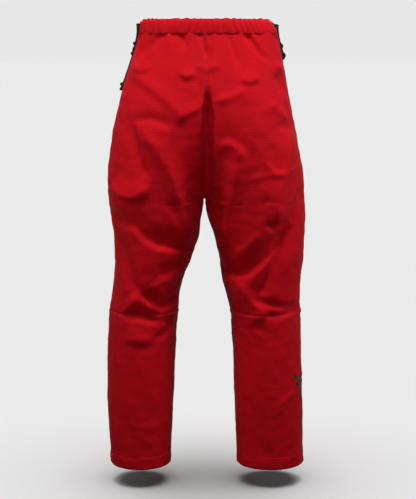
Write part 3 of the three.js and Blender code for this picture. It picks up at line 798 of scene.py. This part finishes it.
for name, (points, normal, around, rows) in GRIDS.items():
    middle = points.shape[1] // 2
    knee = int(np.searchsorted(rows, KNEE_MM))
    hem = int(np.searchsorted(rows, HEM_TOP_MM))
    crotch = int(np.searchsorted(rows, CROTCH_MM))
    stitch_in = int(np.searchsorted(SEAM_STEPS_MM, STITCH_IN_MM))
    stitch_out = int(np.searchsorted(SEAM_STEPS_MM, SEAM_WIDTH_MM - STITCH_IN_MM))
    first = 0 if name == "left" else crotch
    seams = []
    for step_in in (stitch_in, stitch_out):
        seams.append((points[1:hem, middle + step_in], normal[1:hem, middle + step_in]))
        seams.append((points[first + 1:hem, -1 - step_in], normal[first + 1:hem, -1 - step_in]))
    for drop in (KNEE_MM + KNEE_STITCH_MM[0], KNEE_MM + KNEE_STITCH_MM[1], HEM_TOP_MM + HEM_STITCH_MM):
        row = int(np.searchsorted(rows, drop))
        seams.append((points[row], normal[row]))
    sewing(f"{name}_leg_topstitching", seams)

    top = int(np.searchsorted(rows, KNEE_PATCH_TOP_MM))
    inside = int(np.searchsorted(around[knee, :middle + 1], around[knee, 0] + PATCH_SIDE_MM))
    outside = int(np.searchsorted(around[knee, :middle + 1], -PATCH_SIDE_MM))
    over = points + normal * (PATCH_LIFT_MM + CLOTH_MM)
    edges = [(over[top:hem, c], normal[top:hem, c]) for c in (inside + 1, outside - 2)]
    edges += [(over[r, inside:outside], normal[r, inside:outside]) for r in (top + 1, hem - 3)]
    quilt = [top + count for count in PATCH_QUILT_ROWS]
    edges += [(over[r, inside:outside], normal[r, inside:outside]) for r in quilt]
    sewing(f"{name}_knee_topstitching", edges)

casing_line, _ = waist_points(lambda turn: (
    np.array([[1.25]]) + 0.3 * gather_wave(turn)[None], np.array([[WAIST_DEPTH_MM - 2.6]]) + 0 * turn[None]))
line = casing_line[0]
line_out = line * (1, 1, 0) / np.linalg.norm(line[:, :2], axis=1, keepdims=True)
sewing("waistband_topstitching", [(line, line_out)])


# ---- buttonholes ---------------------------------------------------------------------------------------
# A slot through the outer cloth of the waistband at each hip, bound all round with close upright satin
# stitches.
RIM_WIDTH_MM = 3.0
RIM_RISE_MM = 1.3


def buttonhole(name, sign, drop):
    """A flat ridge carried round a slot with round ends: the ridge's width and rise wave with the
    stitches."""
    straight = (SLOT_LENGTH_MM - SLOT_HEIGHT_MM) / 2
    radius = SLOT_HEIGHT_MM / 2 + RIM_WIDTH_MM / 2 - 0.3
    run = 4 * straight + 2 * math.pi * radius
    place = np.arange(240) / 240 * run
    arc = math.pi * radius
    legs = [place < 2 * straight, place < 2 * straight + arc, place < 4 * straight + arc]
    angle = np.select(legs, [0 * place, (place - 2 * straight) / radius, 0 * place + math.pi],
                      math.pi + (place - 4 * straight - arc) / radius)
    runs = [place - straight, 0 * place + straight, 3 * straight + arc - place]
    along = np.select(legs, runs, 0 * place - straight)
    away = np.stack([np.sin(angle), np.cos(angle)], axis=1)
    centre = np.stack([along, 0 * along], axis=1) + radius * away
    turn = np.arange(10) / 10 * 2 * math.pi
    wave = 1 + 0.16 * np.sin(place / run * 2 * math.pi * 76)[:, None]
    flat = centre[:, None] + (RIM_WIDTH_MM / 2 * np.cos(turn)[None] * wave)[..., None] * away[:, None]
    y = SLOT_CENTRE_MM + flat[..., 0]
    fall = drop - flat[..., 1]
    leg = LEGS["left" if sign > 0 else "right"]
    _, width, depth, middle = section(leg, fall)
    sine = (y - middle) / depth
    lift = 3.6 + RIM_RISE_MM * np.sin(turn)[None] * wave
    x = sign * (width * np.sqrt(1 - sine**2) + lift)
    points = np.stack([x, y, -fall], axis=2)
    count = points.shape[1]
    faces = grid_faces(len(place), count, 0, sign > 0, True)
    last = (len(place) - 1) * count + np.arange(count)
    seam = np.stack([last, np.roll(last, -1), np.roll(np.arange(count), -1), np.arange(count)], axis=1)
    faces = np.concatenate([faces, seam[:, ::-1] if sign > 0 else seam])
    made = build(f"{name}_buttonhole_stitching", points.reshape(-1, 3), faces, RED_THREAD)
    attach(made, "trousers")
    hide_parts(f"{name}_buttonhole")


buttonhole("left", 1, SLOT_DROPS_MM["left"])
buttonhole("right", -1, SLOT_DROPS_MM["right"])


# ---- drawcord ------------------------------------------------------------------------------------------
# A braided black polyester rope, 7 mm thick. It runs round the back in the waistband, leaves by a
# buttonhole at each hip and hangs there, with a stopper and a ball knot on the left end and one long knot
# on the right end.
CORD_MM = 7.0
STRANDS = 8
BRAID_PITCH_MM = 15.0
LEFT_HANG_MM = [
    (144.5, -14, -13), (144.5, -17.5, -13), (144.5, -23, -15), (144.6, -27, -20), (144.8, -28.5, -28),
    (146, -28.5, -38), (148.5, -28, -49.5), (151.6, -27.2, -62.5), (154.8, -26.5, -75.5), (157.2, -26, -83),
    (160.4, -25.5, -92), (166.6, -25, -110), (172.6, -24.5, -127), (175.6, -24.2, -135.3),
]
RIGHT_HANG_MM = [
    (-146.5, -14, -15), (-146.5, -17.5, -15), (-146.6, -23, -17), (-147, -27, -22), (-147.8, -28.5, -29),
    (-149.3, -28.5, -39), (-151.8, -28, -49.5), (-155, -27.6, -60), (-158.6, -27, -73),
]
LEFT_EXIT_MM = [
    (144.5, -13.7, -13), (144.5, -10.5, -13), (143.9, -6, -13), (142, 0, -13.2), (138.8, 6.5, -13.5),
    (134.6, 13.5, -13.8),
]
RIGHT_EXIT_MM = [
    (-146.5, -13.7, -15), (-146.5, -10.5, -15), (-145.8, -6, -15), (-143.4, 0, -14.8), (-139.6, 7, -14.4),
    (-133.8, 14.5, -14.1),
]
CORD_DROP_MM = 14.0
CORD_INSET_MM = 1.8


def braid(name, dark, light):
    """Tightly braided polyester rope: near black, with a soft gleam along the crown of each strand."""
    made, tree = material(name)
    spot = node(tree, "ShaderNodeTexCoord").outputs["Object"]
    fibre = node(tree, "ShaderNodeTexNoise", None, Vector=spot, Scale=1100.0, Detail=3.0).outputs[0]
    tone = node(tree, "ShaderNodeMix", {"data_type": "RGBA"}, in0=fibre, in6=srgb(dark), in7=srgb(light))
    bump = node(tree, "ShaderNodeBump", None, Strength=0.5, Distance=0.00015, Height=fibre)
    finish_material(tree, tone.outputs[2], 0.6, bump.outputs[0], Specular_IOR_Level=0.2)
    return made


BLACK_BRAID = braid("black_braided_polyester", "#040405", "#111114")


def smooth_path(points, pitch):
    """Evenly spaced points on the smooth curve through given ones: a cubic between each two, with
    slopes from their neighbours, sampled finely and then spaced out by length."""
    points = np.array(points, float)
    spans = np.sqrt(np.linalg.norm(np.diff(points, axis=0), axis=1))
    knots = np.concatenate([[0], np.cumsum(spans)])
    fine = np.linspace(0, knots[-1], 60 * len(points))
    curve = np.stack([through(knots, points[:, i], fine) for i in range(3)], axis=1)
    place = np.concatenate([[0], np.cumsum(np.linalg.norm(np.diff(curve, axis=0), axis=1))])
    even = np.linspace(0, place[-1], max(int(place[-1] / pitch), 4))
    return np.stack([np.interp(even, place, curve[:, i]) for i in range(3)], axis=1)


def rope_surface(path, radius, closed=False, sides=32):
    """Points and faces of a braided rope along a path. Each ring lies across the path, and its radius
    rises on two families of strands that wind opposite ways and pass over and under each other. Open ends
    are rounded shut."""
    path = np.asarray(path, float)
    if closed:
        along = np.roll(path, -1, axis=0) - np.roll(path, 1, axis=0)
    else:
        along = np.gradient(path, axis=0)
    along /= np.linalg.norm(along, axis=1, keepdims=True)
    place = np.concatenate([[0], np.cumsum(np.linalg.norm(np.diff(path, axis=0), axis=1))])
    first = np.cross(along[0], (0.31, 0.12, 0.94))
    sides_of = [first / np.linalg.norm(first)]
    for way in along[1:]:
        moved = sides_of[-1] - way * np.dot(sides_of[-1], way)
        sides_of.append(moved / np.linalg.norm(moved))
    u = np.array(sides_of)
    v = np.cross(along, u)
    turn = np.arange(sides) / sides * 2 * math.pi
    wind = place[:, None] / BRAID_PITCH_MM * 2 * math.pi
    right = np.cos(STRANDS / 2 * (turn[None] + wind))
    left = np.cos(STRANDS / 2 * (turn[None] - wind))
    size = radius * (0.93 + 0.07 * np.maximum(right, left))
    round_u = np.cos(turn)[None, :, None] * u[:, None]
    round_v = np.sin(turn)[None, :, None] * v[:, None]
    rings = path[:, None] + size[..., None] * (round_u + round_v)
    if not closed:
        tips = []
        for end, way in ((0, -1), (-1, 1)):
            for share, push in ((0.72, 0.28), (0.25, 0.42)):
                tips.append(path[end] + (rings[end] - path[end]) * share + way * along[end] * radius * push)
        rings = np.concatenate([[tips[1]], [tips[0]], rings, [tips[2]], [tips[3]]])
    faces = grid_faces(len(rings), sides, 0, True, True)
    count = len(rings) * sides
    points = rings.reshape(-1, 3)
    ring = np.arange(sides)
    if closed:
        last = (len(rings) - 1) * sides + ring
        faces = np.concatenate([faces, np.stack([ring, np.roll(ring, -1), np.roll(last, -1), last], axis=1)])
    else:
        points = np.concatenate([points, rings[:1].mean(axis=1), rings[-1:].mean(axis=1)])
        pairs = ring[::2]
        far = count - sides
        faces = np.concatenate([
            faces,
            np.stack([pairs, pairs + 1, (pairs + 2) % sides, 0 * pairs + count], axis=1),
            np.stack([far + (pairs + 2) % sides, far + pairs + 1, far + pairs, 0 * pairs + count + 1],
                     axis=1)])
    return points, faces


def rope(name, points, pitch=0.8, sides=32):
    """A rope object along given points, and its path in metres."""
    path = smooth_path(points, pitch)
    made_points, faces = rope_surface(path, CORD_MM / 2, sides=sides)
    return build(name, made_points, faces, BLACK_BRAID, sharp=180), path * MM


def inner_run():
    """The rope's points inside the waistband, round the back from hip to hip."""
    run = []
    for degrees in range(16, 165, 4):
        leg = LEGS["left"] if degrees < 90 else LEGS["right"]
        angle = math.radians(min(degrees, 180 - degrees))
        centre, width, depth, middle = (float(v) for v in section(leg, np.array(CORD_DROP_MM)))
        run.append((leg["sign"] * (centre + (width - CORD_INSET_MM) * math.cos(angle)),
                    middle + (depth - CORD_INSET_MM) * math.sin(angle), -CORD_DROP_MM))
    return run


inner_cord, _ = rope("drawcord_rope", LEFT_EXIT_MM + inner_run() + RIGHT_EXIT_MM[::-1], pitch=1.6, sides=24)
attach(inner_cord, "trousers")
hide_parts("drawcord")


def knot(name, start, end, loops, loop_radius, strand, body, replaced):
    """A knot tied in the rope. The rope runs from start to end and back, winds loops times round that
    line on its way, and swings nearer to it and further off, so its turns lie beside and across each
    other."""
    start, end = np.array(start, float), np.array(end, float)
    axis = end - start
    length = np.linalg.norm(axis)
    axis /= length
    u = np.cross(axis, (0.2, 1.0, 0.1))
    u /= np.linalg.norm(u)
    v = np.cross(axis, u)
    t = np.arange(220) / 220 * 2 * math.pi
    wind = t * loops
    radius = loop_radius * (1 + 0.38 * np.cos(wind * 1.5))
    down = -0.5 * (length - 2 * strand) * np.cos(t) + 0.5 * strand * np.sin(1.5 * wind)
    centre = (start + end) / 2
    outwards = np.cos(wind)[:, None] * u + np.sin(wind)[:, None] * v
    path = centre + down[:, None] * axis + radius[:, None] * outwards
    points, faces = rope_surface(path, strand, closed=True, sides=20)
    made = build(name, points, faces, BLACK_BRAID, sharp=180)
    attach(made, body)
    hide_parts(replaced)
    return made


stopper = knot("left_stopper_knot_rope", (148.5, -28, -49), (154.8, -26.5, -76), 4, 3.1, 3.1,
               "left_drawcord_end", "left_stopper_knot")
ball = knot("left_end_knot_rope", (175.6, -24.2, -134), (180.3, -23.8, -149), 2, 3.0, 3.4,
            "left_drawcord_end", "left_end_knot")
long_knot = knot("right_end_knot_rope", (-151.8, -28, -49), (-161.8, -26.5, -84), 4, 2.9, 3.1,
                 "right_drawcord_end", "right_end_knot")

left_end, left_path = rope("left_cord_end_rope", LEFT_HANG_MM)
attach(left_end, "left_drawcord_end")
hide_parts("left_cord_upper", "left_cord_lower")
right_end, right_path = rope("right_cord_end_rope", RIGHT_HANG_MM)
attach(right_end, "right_drawcord_end")
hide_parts("right_cord")


# ---- belt loops ----------------------------------------------------------------------------------------
# Two loops of ribbed black webbing at the front of the waist, folded under and bar-tacked at both ends.
LOOP_CENTRE_MM = 28.0
LOOP_WIDTH_MM = 12.0
LOOP_THICK_MM = 1.5
LOOP_STEP_MM = 0.7
LOOP_PROFILE_MM = [
    (5.6, 2.4, 0), (5.7, 5.5, 0), (6.4, 9, 0), (11.5, 12.5, 0), (15.6, 16, 0), (16.4, 22, 0),
    (15.4, 29, 0), (10.0, 33, 0), (3.4, 36.0, 0), (1.7, 39.5, 0), (1.6, 44.4, 0),
]


def webbing(name):
    """Woven polyester webbing. Close ribs across its width catch the light in fine bars."""
    made, tree = material(name)
    uv = node(tree, "ShaderNodeUVMap", {"uv_map": "cloth"}).outputs[0]
    place = node(tree, "ShaderNodeSeparateXYZ", None, Vector=uv)
    ribs = lines(tree, place.outputs[1], 0.0012, 0.0011)
    rows = lines(tree, place.outputs[0], 0.0017, 0.0014)
    height = math_node(tree, "MULTIPLY_ADD", rows, 0.4, ribs)
    tone = node(tree, "ShaderNodeMix", {"data_type": "RGBA"}, in0=height,
                in6=srgb("#0B0B0D"), in7=srgb("#202024"))
    bump = node(tree, "ShaderNodeBump", None, Strength=0.7, Distance=0.0003, Height=height)
    finish_material(tree, tone.outputs[2], 0.6, bump.outputs[0], Specular_IOR_Level=0.3)
    return made


BLACK_WEBBING = webbing("black_polyester_webbing")


def belt_loop(name, leg):
    """A strip carried along a smooth profile of (stand-off, drop): flat on the waistband, arched away,
    and flat again on the panel below."""
    profile = smooth_path(LOOP_PROFILE_MM, LOOP_STEP_MM)
    offset, drop = profile[:, 0][:, None], profile[:, 1][:, None]
    x = LOOP_CENTRE_MM + np.linspace(-0.5, 0.5, 15)[None] * LOOP_WIDTH_MM
    _, width, depth, middle = section(leg, drop)
    sine = np.sqrt(1 - (x / width) ** 2)
    y = middle - depth * sine - offset + 0.25 * (np.abs(x - LOOP_CENTRE_MM) / 6) ** 4
    points = np.stack([leg["sign"] * x + 0 * y, y, -drop + 0 * y], axis=2)
    down, across = np.gradient(points, axis=0), np.gradient(points, axis=1)
    normal = np.cross(across, down)
    normal /= np.linalg.norm(normal, axis=2, keepdims=True)
    if normal[5, 5, 1] > 0:
        normal = -normal
    place = np.concatenate([[0], np.cumsum(np.linalg.norm(np.diff(profile, axis=0), axis=1))])
    made = cloth_piece(f"{name}_belt_loop_webbing", points, normal, x[0] + 0 * x[0], place, BLACK_WEBBING,
                       LOOP_THICK_MM, LOOP_THICK_MM)
    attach(made, "trousers")
    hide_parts(f"{name}_belt_loop")
    over = points + normal * (LOOP_THICK_MM + 0.1)
    tacks = []
    for row in (3, 5, 7, len(points) - 8, len(points) - 6, len(points) - 4):
        tacks.append((over[row, 1:-1], normal[row, 1:-1]))
    tacked = sewing(f"{name}_belt_loop_bartacks", tacks, finish=BLACK_THREAD)


BLACK_THREAD = thread("black_polyester_thread", "#141416")
belt_loop("left", LEGS["left"])
belt_loop("right", LEGS["right"])


# ---- calf badge ----------------------------------------------------------------------------------------
# Three chevrons, one under another and each narrower, in black satin stitch on the outside of the right
# calf.
BADGE_TOP_MM = 746.0
BADGE_CENTRE = 18.0
BADGE_HALF = 24.0
BADGE_RISE_MM = 0.9


def embroidery(name):
    """Satin stitch in rayon thread: fine parallel threads with a gleam along them."""
    made, tree = material(name)
    uv = node(tree, "ShaderNodeUVMap", {"uv_map": "cloth"}).outputs[0]
    place = node(tree, "ShaderNodeSeparateXYZ", None, Vector=uv)
    threads = lines(tree, place.outputs[0], 0.0008, 0.0008)
    tone = node(tree, "ShaderNodeMix", {"data_type": "RGBA"}, in0=threads,
                in6=srgb("#030304"), in7=srgb("#0C0C0E"))
    bump = node(tree, "ShaderNodeBump", None, Strength=0.6, Distance=0.0002, Height=threads)
    finish_material(tree, tone.outputs[2], 0.5, bump.outputs[0], Specular_IOR_Level=0.18)
    return made


BLACK_EMBROIDERY = embroidery("black_satin_stitch")
POINTS, NORMAL, _, ROWS = GRIDS["right"]


def on_right_leg(degrees, drop):
    """Points and normals on the right leg's cloth at angles behind the side seam and drops, read off its
    grid."""
    centre, width, depth, middle = section(LEGS["right"], ROWS)
    angle = np.degrees(np.arctan2((POINTS[..., 1] - middle[:, None]) / depth[:, None],
                                  (-POINTS[..., 0] - centre[:, None]) / width[:, None]))
    row = np.clip(np.searchsorted(ROWS, drop.ravel()), 1, len(ROWS) - 1)
    share = (drop.ravel() - ROWS[row - 1]) / (ROWS[row] - ROWS[row - 1])
    found = np.zeros((drop.size, 6))
    data = np.concatenate([POINTS, NORMAL], axis=2)
    keep = slice(POINTS.shape[1] // 2 - 40, POINTS.shape[1] - 30)
    for i, (r, s, d) in enumerate(zip(row, share, degrees.ravel())):
        for k in range(6):
            low = np.interp(d, angle[r - 1, keep], data[r - 1, keep, k])
            high = np.interp(d, angle[r, keep], data[r, keep, k])
            found[i, k] = low + (high - low) * s
    return found[:, :3].reshape(*drop.shape, 3), found[:, 3:].reshape(*drop.shape, 3)


for index in range(3):
    across = np.linspace(-1, 1, 49)[None]
    down = np.linspace(0, 1, 9)[:, None]
    half_width = BADGE_HALF * (0.96 - 0.24 * index)
    drop = BADGE_TOP_MM + 2 + index * 17.0 + (1 - np.abs(across)) * 13.0 + down * (9.5 - 1.5 * index)
    degrees = BADGE_CENTRE + half_width * across + 0 * drop
    spot, up = on_right_leg(degrees, drop)
    up /= np.linalg.norm(up, axis=2, keepdims=True)
    crown = BADGE_RISE_MM * (np.sin(down * math.pi) ** 0.4) * (np.clip(1 - np.abs(across) ** 14, 0, 1)) + 0.25
    badge = cloth_piece(f"calf_badge_chevron_{index + 1}", spot + up * (crown[..., None] - BADGE_RISE_MM), up,
                        across[0] * half_width * 1.3, drop[:, 0] - BADGE_TOP_MM, BLACK_EMBROIDERY,
                        BADGE_RISE_MM, 0.8)
    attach(badge, "trousers")
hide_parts("calf_badge")


# ---- floor and light -----------------------------------------------------------------------------------
# A pale level floor with its own soft suns, one large soft light above and behind the wearer, and weak
# fills.
FLOOR_Z = -0.998


def wide_floor():
    """A level floor of 120 m square, so its far edge meets the background in one even tone."""
    corners = np.array([[-1, -1, 0], [1, -1, 0], [1, 1, 0], [-1, 1, 0]]) * 60.0 + (0, 0, FLOOR_Z)
    return corners / MM, np.array([[0, 1, 2, 3]])


paper, paper_tree = material("white_paper")
paper_grain = node(paper_tree, "ShaderNodeTexNoise", None, Scale=3.0)
paper_tone = math_node(paper_tree, "MULTIPLY_ADD", paper_grain.outputs[0], 0.01, 0.795)
paper_colour = node(paper_tree, "ShaderNodeCombineXYZ", None, X=paper_tone, Y=paper_tone, Z=paper_tone)
finish_material(paper_tree, paper_colour.outputs[0], 0.9, None, Specular_IOR_Level=0.0)
floor = build("floor", *wide_floor(), paper)
floor.visible_diffuse = False

only_floor = bpy.data.collections.new("lit_by_the_floor_light")
only_floor.objects.link(floor)
all_but_floor = bpy.data.collections.new("lit_by_the_studio_lights")
all_but_floor.objects.link(floor)
all_but_floor.collection_objects[0].light_linking.link_state = "EXCLUDE"

world = bpy.data.worlds.new("studio")
bpy.context.scene.world = world
world.use_nodes = True
world.node_tree.nodes["Background"].inputs[0].default_value = srgb("#E8E8E8")
world.node_tree.nodes["Background"].inputs[1].default_value = 1.0
world.cycles_visibility.diffuse = False
world.cycles_visibility.glossy = False


def light(name, kind, start, target, power, size, colour="#FFFFFF", floor_only=False):
    """A soft light aimed at a point: a rectangle of that size in metres, or a sun of that angle in
    radians."""
    data = bpy.data.lights.new(name, kind)
    if kind == "AREA":
        data.shape = "RECTANGLE"
        data.size, data.size_y = size
    else:
        data.angle = size
    data.energy = power
    data.color = srgb(colour)[:3]
    made = bpy.data.objects.new(name, data)
    bpy.context.scene.collection.objects.link(made)
    aim(made, start, target)
    made.light_linking.receiver_collection = only_floor if floor_only else all_but_floor


# Three overlapping soft suns give the floor one even tone and the legs soft round shadows.
for tilt in (-0.22, 0.0, 0.22):
    light("floor_light", "SUN", (3 * tilt, 0.06, 3), (0, 0, 0), 1.1, math.radians(44), floor_only=True)
light("key_light", "AREA", (0.0, 0.72, 1.15), (0.0, 0.0, -0.35), 19.5, (0.7, 0.3))
light("left_light", "AREA", (1.35, 0.45, 0.30), (0.0, 0.0, -0.40), 7, (0.4, 0.9))
light("right_light", "AREA", (-1.35, 0.30, 0.30), (0.0, 0.0, -0.40), 10, (0.3, 0.9), "#F4F0FF")
light("front_light", "AREA", (0.0, -1.3, 0.9), (0.0, 0.0, -0.40), 24, (1.2, 0.8))
light("fill_light", "AREA", (0.0, 2.2, -0.3), (0.0, 0.0, -0.60), 9, (1.6, 1.2))
